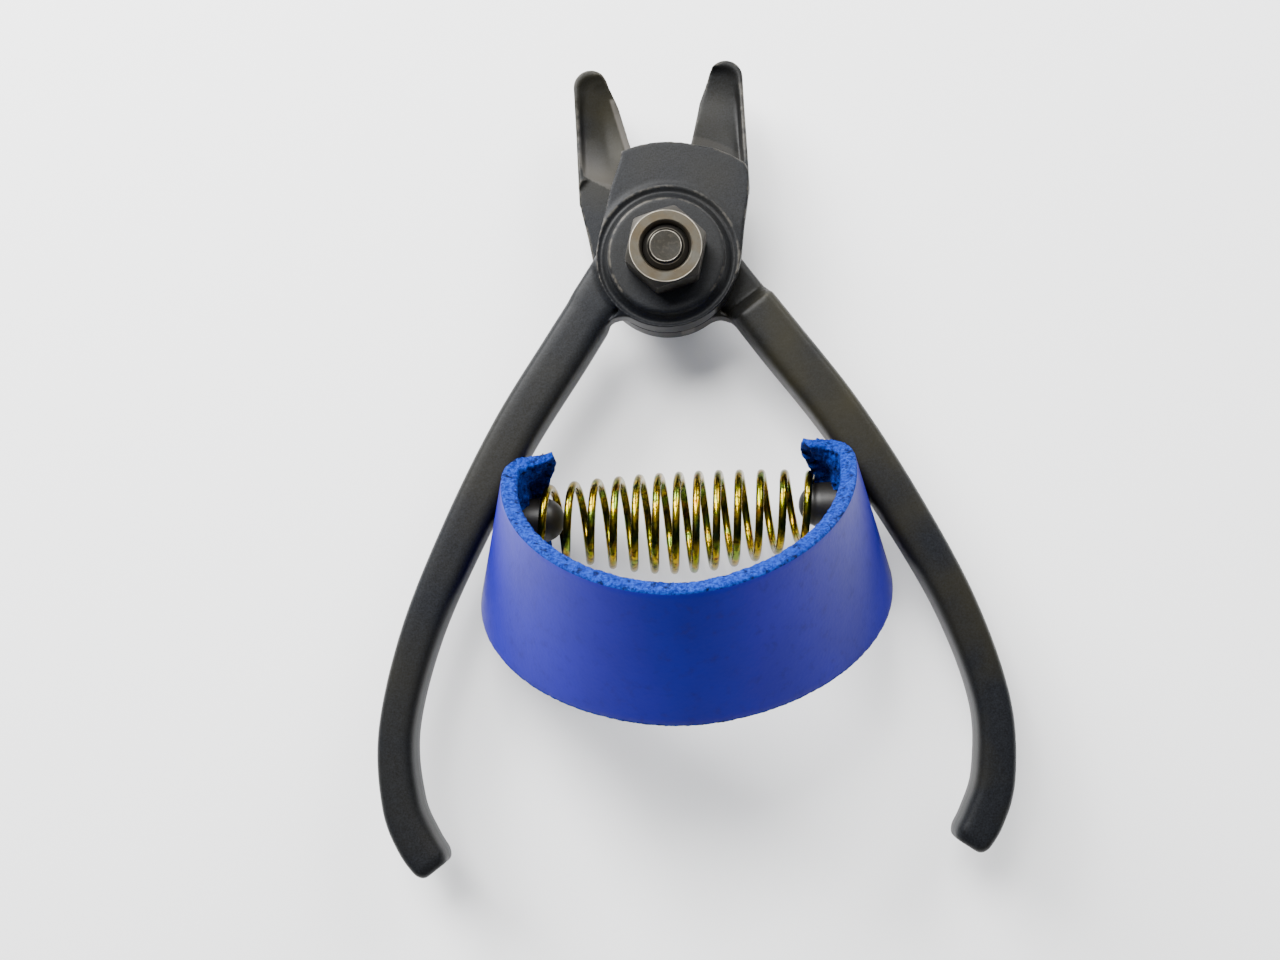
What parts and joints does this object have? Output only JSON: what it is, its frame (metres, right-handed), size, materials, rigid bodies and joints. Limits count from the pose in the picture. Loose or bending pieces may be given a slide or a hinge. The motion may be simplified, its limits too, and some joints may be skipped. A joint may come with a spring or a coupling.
{
  "type": "spring-opened hand clippers",
  "caption": "Two crossed forged levers on a bolt, with spoon-shaped cutting jaws, a barrel spring between the handles and a leather finger loop.",
  "frame": {"origin": "on the pivot's axis, at the outer face of the bolt head, which is the face that the tool rests on", "axes": "+Z along the pivot's axis from the bolt head to the nut, +Y towards the jaws, +X to the right with the nut facing the viewer; the tool lies fully open"},
  "size_m": [0.1096, 0.1411, 0.0572],
  "materials": {
    "front_forging": "dark gun-metal forging, fine grain, worn edges",
    "back_forging": "dark gun-metal forging, fine grain, bright ground cutting edge",
    "bolt_steel": "bare steel, tarnished",
    "nut_steel": "bare steel with a brown tint",
    "stud_black": "black oxide, satin",
    "spring_wire": "brass-coloured plated spring wire, bright",
    "strap_leather": "blue dyed leather, smooth outside, suede inside"
  },
  "bodies": {
    "front_side": {"front_lever": "front_forging", "pivot_bolt": "bolt_steel", "pivot_nut": "nut_steel", "left_spring_stud": "stud_black"},
    "back_side": {"back_lever": "back_forging", "right_spring_stud": "stud_black"},
    "spring_and_strap": {"return_spring": "spring_wire", "finger_strap": "strap_leather"}
  },
  "joints": [
    {"name": "grip_hinge", "type": "hinge", "parent": "front_side", "child": "back_side", "pos_m": [0, 0, 0.0126], "axis": [0, 0, -1], "range_deg": [0, 27], "stiffness_Nm_per_rad": 1.2, "springref_deg": -20.05, "deforming": ["return_spring", "finger_strap"]},
    {"name": "spring_swing", "type": "hinge", "parent": "front_side", "child": "spring_and_strap", "pos_m": [-0.0258, -0.0443, 0.0126], "axis": [0, 0, -1], "range_deg": [0, 13.5], "deforming": ["return_spring", "finger_strap"]}
  ],
  "couplings": [
    {"joint": "spring_swing", "follows": "grip_hinge", "ratio": 0.5}
  ]
}
